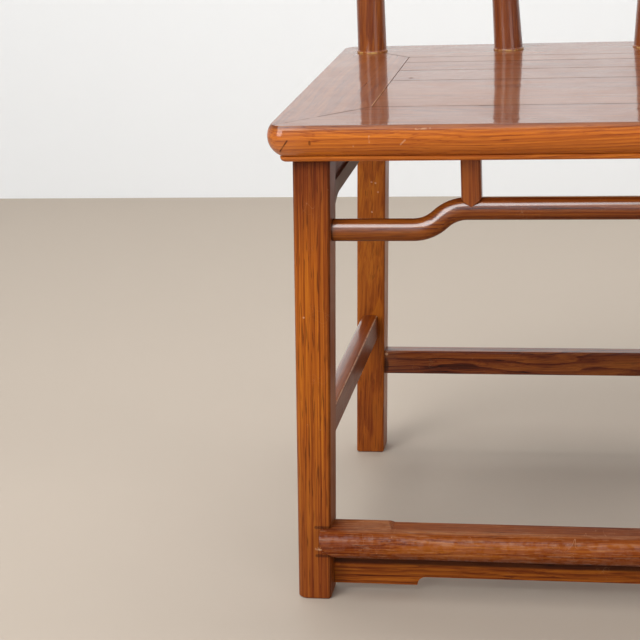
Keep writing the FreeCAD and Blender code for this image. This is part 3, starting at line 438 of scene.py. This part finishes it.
FACING = (1, 0, 1)       # weights that leave the depth out
SEAM = 1.3               # half widths in millimetres
NICK = 1.0
OPEN_SEAM = SEAM * 1.2
LAP_LINE = 2.4
TOP_SHINE = broken(slab(Z, SEAT_TOP - 0.3, OUTSIDE, soft=0.5), scale=9.0, low=0.3, high=0.7, least=0.82)
CORNER_SHINE = both(slab(X, 245.0, OUTSIDE, soft=25.0), slab(Y, 262.0, OUTSIDE, soft=5.0))
SEAT_GLOSS = {"coat": 1.0, "coat_rough": 0.045, "specular": 0.1, "rough": 0.35, "waves": 0.0008,
              "drift": 0.10, "pore": 0.15, "rubs": 0.08,
              "shine": lifted(either(TOP_SHINE, CORNER_SHINE), 0.25)}
TOP_STAIN = (slab(Z, SEAT_TOP - 3.8, OUTSIDE, soft=4.6), "seat_top", 1.0)


def mirrored(side, *points):
    """Points of the right side, or their mirror images on the left."""
    return [(side * x, y, z) for x, y, z in points]


def hump_crown(nodes, place):
    """The upper half of the humpback stretcher, which follows its bends."""
    x, y, z = nodes.parts(place)
    bends = [size * MM for size in (*HUMP_BENDS, *HUMP_HEIGHTS)]
    middle = nodes.ramp(nodes.maths("ABSOLUTE", x), *bends)
    return nodes.ramp(nodes.maths("SUBTRACT", z, middle), *[size * MM for size in HUMP_EDGE])


def mitre(side, outer, inner):
    """The line of a seat mitre, faint by its outer corner and open towards the opening."""
    corner = (side * SEAT_HALF_WIDTH, outer, SEAT_TOP)
    middle = (side * (SEAT_HALF_WIDTH + OPENING_HALF_WIDTH) / 2, (outer + inner) / 2, SEAT_TOP)
    opening = (side * OPENING_HALF_WIDTH, inner, SEAT_TOP)
    shut = broken(stroke(corner, middle, SEAM), scale=40.0, low=0.30, high=0.55)
    faint = both(shut, patches(scale=90.0, low=0.35, high=0.65))
    wide = broken(stroke(middle, opening, OPEN_SEAM), scale=40.0, low=0.30, high=0.45, least=0.6)
    return either(faint, wide)


def cross_seam(depth, half_width=SEAM):
    """The line of a joint across the seat's opening."""
    line = stroke((-OPENING_HALF_WIDTH, depth, SEAT_TOP), (OPENING_HALF_WIDTH, depth, SEAT_TOP), half_width)
    return broken(line, scale=30.0, low=0.34, high=0.50, least=0.35)


class HATCHAIR_OT_seat(bpy.types.Operator):
    """Lacquer the seat's rails and boards"""
    bl_idname = "hatchair.seat"
    bl_label = "Seat"

    def execute(self, context):
        colours = context.scene.hat_chair_wood
        front_mitres, rear_mitres = [
            [(mitre(side, outer, inner), "pore", 0.9) for side, label in SIDES]
            for outer, inner in ((SEAT_FRONT, OPENING_FRONT), (SEAT_REAR, OPENING_REAR))]
        crack = broken(stroke(*EDGE_CRACK, NICK, FACING), scale=200.0, low=0.3, high=0.5, least=0.4)
        nicks = [broken(stroke(*ends, NICK, FACING), scale=400.0, low=0.35, high=0.6) for ends in EDGE_NICKS]
        front_marks = [*front_mitres, (cross_seam(OPENING_FRONT, OPEN_SEAM), "pore", 0.8),
                       (stroke(*SEAM_CHIP, half_width=2.4), "pore", 0.7), (crack, "pore", 0.8),
                       (spot(EDGE_KNOT, radii=(1.6, 9.0, 3.2)), "pore", 0.6),
                       *[(nick, "worn", 0.45) for nick in nicks]]
        rear_marks = [*rear_mitres, (cross_seam(OPENING_REAR), "pore", 0.8)]
        lacquer("front_rail", colours.seat, colours, ALONG_X, pith=(0.06, 0.02, 0.2), rings=0.0036, ring=0.32,
                line=0.45, fibre=0.12, wander=0.07, stains=[TOP_STAIN], marks=front_marks, **SEAT_GLOSS)
        lacquer("rear_rail", colours.seat, colours, ALONG_X, pith=(0.02, 0.05, 0.5), rings=0.0042,
                wander=0.05, stains=[TOP_STAIN], marks=rear_marks, **SEAT_GLOSS)
        for index, (side, label) in enumerate(SIDES):
            edge = OPENING_HALF_WIDTH * side
            # A painted highlight along each side edge of the seat's opening
            edge_highlight = broken(stroke((edge, OPENING_FRONT, SEAT_TOP), (edge, EDGE_HIGHLIGHT_END, SEAT_TOP), NICK),
                            scale=70.0, low=0.42, high=0.55)
            lacquer("side_rail_" + label, colours.seat, colours, ALONG_Y, pith=(0.05, 0.07 * side, 0.1),
                    rings=0.005, wander=0.05, stains=[TOP_STAIN],
                    marks=[front_mitres[index], rear_mitres[index], (edge_highlight, "worn", 0.6)], **SEAT_GLOSS)
        lines = (OPENING_FRONT, *BOARD_JOINTS, OPENING_REAR)
        for index, board in enumerate(("front", "second", "third", "rear")):
            marks = [(cross_seam(line), "pore", 0.85) for line in lines[index:index + 2]]
            if board == "second":
                marks.append((spot(BOARD_KNOT, radii=(2.6, 4.5, 2.0)), "pore", 0.8))
            pith = (0.04 + 0.013 * index, 0.09 - 0.05 * index, 0.37 * index)
            lacquer("panel_board_" + board, colours.seat_top, colours, ALONG_X, pith=pith, rings=0.006,
                    wander=0.05, marks=marks, **SEAT_GLOSS)
        return {"FINISHED"}


class HATCHAIR_OT_legs(bpy.types.Operator):
    """Lacquer the legs, the stiles and the back"""
    bl_idname = "hatchair.legs"
    bl_label = "Legs and back"

    def execute(self, context):
        colours = context.scene.hat_chair_wood
        # Painted shade: the front legs are darker towards the seat, towards the floor and on their inner
        # side, with a painted shadow just below the seat's edge
        leg_top = slab(Z, 405.0, 520.0, soft=55.0)
        leg_foot = slab(Z, -220.0, 150.0, soft=150.0)
        inner_face = slab(X, -10.0, 238.0, soft=4.0)
        under_seat = slab(Z, 456.0, OUTSIDE, soft=6.0)
        dark = [(leg_top, "leg_dark", 0.95), (leg_foot, "leg_dark", 0.8), (inner_face, "leg_dark", 0.35),
                (under_seat, "pore", 0.45)]
        for side, label in SIDES:
            chip, bruise = mirrored(side, LEG_CHIP, LAP_BRUISE)
            bruised = broken(spot(bruise, radii=(5.0, 5.0, 2.5)), scale=300.0, low=0.4, high=0.6)
            arris = broken(stroke(*mirrored(side, *LEG_ARRIS), half_width=2.8), scale=60.0, low=0.3, high=0.6,
                           least=0.5)
            laps = [(stroke(*mirrored(side, *line), LAP_LINE), "pore", 0.65) for line in LAP_LINES]
            forward, outward = FRONT_LEG_SPLAY
            lacquer("front_leg_" + label, colours.leg, colours, (forward, outward * side, 0),
                    pith=(0.31 + 0.02 * side, 0.33, 0.2 * side), rings=0.0021, ring=0.24, line=0.24,
                    fibre=0.28, pore=0.55, wander=0.006, rough=0.40, specular=0.10,
                    stains=[*dark, (arris, "pore", 0.6), *laps],
                    marks=[(spot(chip, radii=(1.3, 4.0, 1.3)), "worn", 0.6), (bruised, "worn", 0.8)])
        # A painted highlight ring round the foot of each stile and post
        highlight_ring = broken(slab(Z, SEAT_TOP, HIGHLIGHT_RING_TOP, soft=0.4), scale=220.0, low=0.45, high=0.60, least=0.1)
        # Painted shade on the rear legs just below the seat
        below_seat = slab(Z, 440.0, 498.0, soft=30.0)
        stile = slab(Z, SEAT_TOP + 5.0, OUTSIDE, soft=30.0)
        post = slab(Z, SEAT_TOP - 60.0, OUTSIDE, soft=30.0)
        for side, label in SIDES:
            dings = [(broken(spot(place, radii=(1.5, 4.0, 1.5)), scale=500.0, low=0.3, high=0.6, least=0.4),
                      "worn", 0.7) for place in mirrored(side, *REAR_LEG_DINGS)]
            forward, outward = REAR_LEG_SPLAY
            lacquer("rear_leg_" + label, blend(colours.leg, colours.leg_dark, 0.38), colours,
                    (forward, outward * side, 0), pith=(0.27, 0.02 * side, 0.3), rings=0.006, line=0.16,
                    fibre=0.2, wander=0.05, drift=0.22, coat=0.7, coat_rough=0.14,
                    shine=slab(Z, SEAT_TOP, OUTSIDE, soft=4.0),
                    stains=[(below_seat, "leg_dark", 0.7), (stile, "leg_dark", 0.72)],
                    marks=[(highlight_ring, "gilt", 0.8), *dings])
        for side, label in SIDES:
            lacquer("inner_post_" + label, colours.leg, colours, UPRIGHT, pith=(0.1, 0.05 * side, 0),
                    coat=0.8, coat_rough=0.16, stains=[(post, "leg_dark", 0.95)], marks=[(highlight_ring, "gilt", 0.8)])
        lacquer("crest_rail", blend(colours.leg, colours.leg_dark, 0.6), colours, ALONG_X,
                pith=(0.12, 0.2, -0.85), rings=0.006, coat=0.7, coat_rough=0.14)
        lacquer("crest_pegs", colours.leg_dark, colours, ALONG_Y)
        return {"FINISHED"}


class HATCHAIR_OT_stretchers(bpy.types.Operator):
    """Lacquer the stretchers, the struts and the aprons"""
    bl_idname = "hatchair.stretchers"
    bl_label = "Stretchers and aprons"

    def execute(self, context):
        colours = context.scene.hat_chair_wood
        by_leg = slab(X, 223.6, OUTSIDE, soft=0.8)
        lacquer("humpback_stretcher", blend(colours.stretcher, colours.pore, 0.15), colours, ALONG_X,
                pith=(0.05, 0.26, 0), rings=0.004, ring=0.3, line=0.5, fibre=0.3, drift=0.25, rough=0.45,
                specular=0.1, coat=1.0, coat_rough=0.17, coat_ior=1.9, shine=lifted(hump_crown, 0.12),
                stains=[(by_leg, "pore", 0.8)])
        lacquer("rear_stretcher", blend(colours.leg, colours.leg_dark, 0.8), colours, ALONG_X,
                pith=(0.03, 0.02, 0), rings=0.0065, ring=0.62, line=0.5, fibre=0.25, wander=0.10, drift=0.25,
                coat=0.6, coat_rough=0.08,
                marks=[(spot(STRETCHER_HOLLOW, radii=(4.0, 3.0, 11.0)), "pore", 0.8),
                       (spot(STRETCHER_CHIP, radii=(2.5, 3.0, 2.2)), "worn", 0.8)])
        rail_top = both(slab(Z, 78.6, 90.0, soft=0.5), slab(X, 0.0, 222.0, soft=14.0))
        # Painted shade on the underside of the foot rail's nose
        rail_underside = slab(Z, 40.0, 56.0, soft=5.0)
        rail_nose = slab(Y, FOOT_RAIL_NOSE, OUTSIDE, soft=6.0)
        scuffs = patches(scale=420.0, low=0.53, high=0.68, squeeze=(0.15, 1, 1))
        lacquer("foot_rail", blend(colours.leg, colours.leg_dark, 0.82), colours, ALONG_X,
                pith=(0.04, 0.03, 0.4), rings=0.004, ring=0.3, line=0.5, fibre=0.25, wander=0.06, drift=0.25,
                rough=0.50, rubs=0.9, specular=0.04, coat=0.5, coat_rough=0.30, waves=0.0015,
                shine=broken(rail_nose, scale=120.0, low=0.36, high=0.62),
                stains=[(rail_underside, "leg_dark", 0.6)],
                marks=[(broken(rail_top, scale=70.0, low=0.25, high=0.6, least=0.3), "worn", 0.16),
                       (scuffs, "worn", 0.15)])
        # Painted shadow under the foot rail's nose, and painted shade in the corners where the apron meets
        # the legs
        under_rail = slab(Z, 31.5, 60.0, soft=1.5)
        apron_end = slab(X, 239.5, 260.0, soft=1.0)
        lacquer("foot_apron", blend(colours.leg, colours.leg_dark, 0.35), colours, ALONG_X,
                pith=(0.2, 0.05, 0.1), rings=0.0045, ring=0.35, line=0.5, fibre=0.25, wander=0.05,
                specular=0.12,
                stains=[(spot(APRON_CHIP, radii=(3.5, 6.0, 3.0)), "seat", 0.8),
                        (under_rail, "pore", 0.85), (apron_end, "pore", 0.75)])
        lacquer("rear_apron", colours.stretcher, colours, ALONG_X)
        stretcher_outer_face = slab(X, 253.0, OUTSIDE, soft=4.0)
        # Painted shade on the stretchers' inner faces
        stretcher_inner_face = slab(X, 236.0, 243.4, soft=0.6)
        # Painted shade on the aprons' inner faces under the seat; the low band on them is bare wood
        apron_inner_face = slab(X, 200.0, 240.3, soft=0.3)
        bare_band = both(apron_inner_face, slab(Z, 397.0, 432.0, soft=0.8))
        for side, label in SIDES:
            arris = broken(stroke(*mirrored(side, *STRETCHER_ARRIS), half_width=1.2),
                           scale=90.0, low=0.35, high=0.55, least=0.15)
            lacquer("side_stretcher_" + label, colours.stretcher, colours, ALONG_Y,
                    pith=(0.29, 0.06 * side, 0), coat=1.0, coat_rough=0.12, specular=0.1,
                    shine=stretcher_outer_face, stains=[(stretcher_inner_face, "leg_dark", 0.6)],
                    marks=[(arris, "worn", 0.6)])
            lacquer("side_apron_" + label, colours.stretcher, colours, ALONG_Y, pith=(0.2, 0.09 * side, 0),
                    rough=0.45, stains=[(apron_inner_face, "leg_dark", 0.7)], marks=[(bare_band, "raw", 0.9)])
            lacquer("strut_" + label, blend(colours.leg, colours.leg_dark, 0.65), colours, UPRIGHT,
                    pith=(0.1, 0.3 * side, 0), line=0.5, fibre=0.25, coat=0.3)
        return {"FINISHED"}


class HATCHAIR_OT_battens(bpy.types.Operator):
    """Leave the battens under the seat unfinished"""
    bl_idname = "hatchair.battens"
    bl_label = "Battens"

    def execute(self, context):
        colours = context.scene.hat_chair_wood
        for index, (side, label) in enumerate(SIDES):
            name = "batten_" + label
            dress(name, wood_finish("Raw " + name, colours.raw, colours, ALONG_Y, pith=(0.1, 0.04 * index, 0),
                                    rough=0.75, specular=0.1))
        return {"FINISHED"}


# Studio

STAGE_SPECULAR = 0.2
AMBIENT = 0.09


def stage_material(name, colour, roughness):
    """A plain stage surface, clear from behind, so that the chair shows from every side."""
    material = bpy.data.materials.new(name)
    material.use_nodes = True
    nodes = Nodes(material.node_tree)
    front = nodes.add("ShaderNodeBsdfPrincipled", {}, Base_Color=(*colour, 1), Roughness=roughness,
                      Specular_IOR_Level=STAGE_SPECULAR)
    behind = nodes.add("ShaderNodeBsdfTransparent")
    sides = nodes.add("ShaderNodeMixShader")
    for socket, value in (("0", nodes.add("ShaderNodeNewGeometry").outputs["Backfacing"]),
                          ("1", front.outputs[0]), ("2", behind.outputs[0])):
        nodes.set(sides, socket, value)
    nodes.add("ShaderNodeOutputMaterial", {}, Surface=sides.outputs[0])
    return material


def stage_plane(name, centre, size, material, turn=(0, 0, 0)):
    """A flat stage surface that faces up before its turn."""
    bpy.ops.object.select_all(action="DESELECT")
    bpy.ops.mesh.primitive_plane_add(size=1, calc_uvs=False, location=centre, rotation=turn)
    piece = bpy.context.active_object
    piece.name = piece.data.name = name
    piece.scale = (*size, 1)
    bpy.ops.object.transform_apply(location=True, rotation=True, scale=True)
    piece.data.materials.append(material)


def area_light(name, place, target, size, power):
    """A soft rectangular light that faces a point; lengths in metres and power in watts."""
    lamp = bpy.data.lights.new(name, "AREA")
    lamp.shape = "RECTANGLE"
    lamp.size, lamp.size_y = size
    lamp.energy = power
    piece = bpy.data.objects.new(name, lamp)
    piece.location = place
    piece.rotation_euler = (Vector(target) - Vector(place)).to_track_quat("-Z", "Y").to_euler()
    piece.visible_camera = False
    bpy.context.collection.objects.link(piece)


# The camera that fits the photograph: place in millimetres, angles in radians, focal length in pixels
CAMERA_PLACE = Vector((69.085, -1932.584, 824.062)) * MM
CAMERA_YAW = -0.181250
CAMERA_PITCH = 0.296592
CAMERA_ROLL = -0.046626
FOCAL_PIXELS = 1809.8
PHOTO_PIXELS = 640
SENSOR_WIDTH = 36.0
VIEW_END = 100.0  # metres


def camera_turn():
    """The camera's rotation from its yaw, pitch and roll."""
    forward = Vector((math.sin(CAMERA_YAW) * math.cos(CAMERA_PITCH),
                      math.cos(CAMERA_YAW) * math.cos(CAMERA_PITCH), -math.sin(CAMERA_PITCH)))
    level = Vector((math.cos(CAMERA_YAW), -math.sin(CAMERA_YAW), 0))
    above = level.cross(forward)
    right = level * math.cos(CAMERA_ROLL) + above * math.sin(CAMERA_ROLL)
    top = above * math.cos(CAMERA_ROLL) - level * math.sin(CAMERA_ROLL)
    return Matrix((right, top, -forward)).transposed()


class HATCHAIR_OT_studio(bpy.types.Operator):
    """Lay the floor, put up the walls, and place the lights and the camera"""
    bl_idname = "hatchair.studio"
    bl_label = "Studio"

    def execute(self, context):
        sizes = context.scene.hat_chair_studio
        half = sizes.floor_width / 2
        wall = sizes.wall_distance
        floor = stage_material("Pale Floor", sizes.floor_colour, roughness=0.6)
        backdrop = stage_material("Pale Wall", sizes.wall_colour, roughness=0.9)
        stage_plane("studio_floor", (0, half / 2, 0), (2 * half, 3 * half), floor)
        middle = (wall - half) / 2
        walls = ((half, middle, half + wall, -QUARTER), (0, -half, 2 * half, math.pi),
                 (-half, middle, half + wall, QUARTER), (0, wall, 2 * half, 0))
        for index, (x, y, width, turn) in enumerate(walls):
            stage_plane("studio_wall_%d" % (index + 1), (x, y, half / 2), (width, half), backdrop,
                        turn=(QUARTER, 0, turn))
        area_light("Ceiling Light", place=(-0.8, -1.5, 2.6), target=(0, -0.1, 0.4), size=(2.2, 1.7),
                   power=53.5)
        area_light("Window Light", place=(-1.9, -2.7, 1.7), target=(0, 0, 0.4), size=(1.4, 1.8), power=41.0)
        area_light("Fill Light", place=(2.2, -2.8, 1.2), target=(0, 0, 0.35), size=(1.6, 1.6), power=22.0)
        area_light("Wall Light", place=(0.0, 0.3, 3.0), target=(0, wall, 0.8), size=(3.0, 0.8), power=50.0)
        area_light("Far Wall Light", place=(0.0, -3.2, 3.2), target=(0, -half, 0.6), size=(5.0, 0.8),
                   power=55.0)
        world = context.scene.world or bpy.data.worlds.new("Studio World")
        context.scene.world = world
        world.use_nodes = True
        nodes = Nodes(world.node_tree)
        background = nodes.add("ShaderNodeBackground", {}, Strength=AMBIENT, Color=(1, 1, 1, 1))
        nodes.add("ShaderNodeOutputWorld", {}, Surface=background.outputs[0])
        camera = bpy.data.cameras.new("Photo Camera")
        camera.sensor_width = SENSOR_WIDTH
        camera.lens = FOCAL_PIXELS * SENSOR_WIDTH / PHOTO_PIXELS
        camera.clip_end = VIEW_END
        viewer = bpy.data.objects.new("Photo Camera", camera)
        viewer.matrix_world = Matrix.Translation(CAMERA_PLACE) @ camera_turn().to_4x4()
        context.collection.objects.link(viewer)
        context.scene.camera = viewer
        context.scene.view_settings.view_transform = "Standard"
        return {"FINISHED"}


STEPS = (HATCHAIR_OT_seat, HATCHAIR_OT_legs, HATCHAIR_OT_stretchers, HATCHAIR_OT_battens, HATCHAIR_OT_studio)


class HATCHAIR_PT_steps(bpy.types.Panel):
    """Buttons for each group of pieces"""
    bl_label = "Hat Chair"
    bl_idname = "HATCHAIR_PT_steps"
    bl_space_type = "VIEW_3D"
    bl_region_type = "UI"
    bl_category = "Hat Chair"

    def draw(self, context):
        for step in STEPS:
            self.layout.operator(step.bl_idname)


CLASSES = (WoodColours, StudioSizes, *STEPS, HATCHAIR_PT_steps)


def register():
    for cls in CLASSES:
        bpy.utils.register_class(cls)
    bpy.types.Scene.hat_chair_wood = bpy.props.PointerProperty(type=WoodColours)
    bpy.types.Scene.hat_chair_studio = bpy.props.PointerProperty(type=StudioSizes)


def unregister():
    del bpy.types.Scene.hat_chair_wood
    del bpy.types.Scene.hat_chair_studio
    for cls in reversed(CLASSES):
        bpy.utils.unregister_class(cls)


def main():
    register()
    for step in STEPS:
        group_name, operator_name = step.bl_idname.split(".")
        getattr(getattr(bpy.ops, group_name), operator_name)()


if __name__ == "__main__":
    main()
